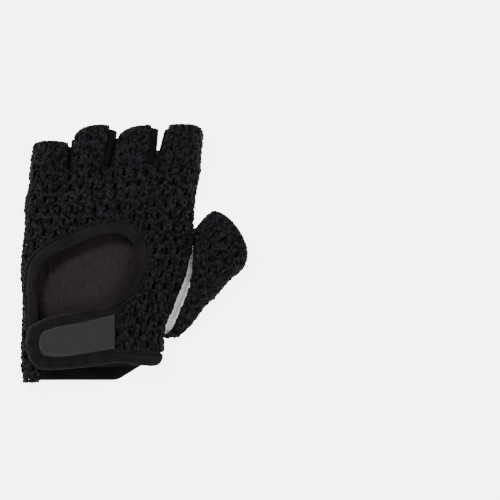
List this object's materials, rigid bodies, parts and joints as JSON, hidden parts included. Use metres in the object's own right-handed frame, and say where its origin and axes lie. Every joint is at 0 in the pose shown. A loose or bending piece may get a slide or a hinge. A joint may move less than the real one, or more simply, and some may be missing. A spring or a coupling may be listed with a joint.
{
  "type": "weightlifting glove",
  "caption": "Half-finger weightlifting glove for the left hand: black crocheted back, open over the hand, wrist strap and white leather palm.",
  "frame": {"origin": "centre of the lying glove's outline at the floor, below its padded palm", "axes": "+Z out of the back of the hand, +Y towards the fingertips, +X towards the thumb"},
  "size_m": [0.1396, 0.1592, 0.0238],
  "materials": {
    "crochet_yarn": "matt crocheted cotton",
    "knit_tape": "soft knitted binding",
    "white_leather": "matt suede-like leather",
    "dark_lining": "brushed lining",
    "side_knit": "smooth stretch knit",
    "grey_rubber": "satin moulded",
    "hook_fastener": "hook tape"
  },
  "bodies": {
    "root": {"back_crochet": "crochet_yarn", "thumb_crochet": "crochet_yarn", "opening_tape": "knit_tape", "strap": "knit_tape", "strap_patch": "grey_rubber", "strap_hook": "hook_fastener", "wrist_hem": "knit_tape", "palm_hem": "knit_tape", "palm_leather": "white_leather", "palm_pad": "white_leather", "thumb_leather": "white_leather", "thumb_web": "white_leather", "palm_lining": "dark_lining", "side_ring_little": "side_knit", "side_middle_ring": "side_knit", "side_index_middle": "side_knit"}
  },
  "joints": []
}
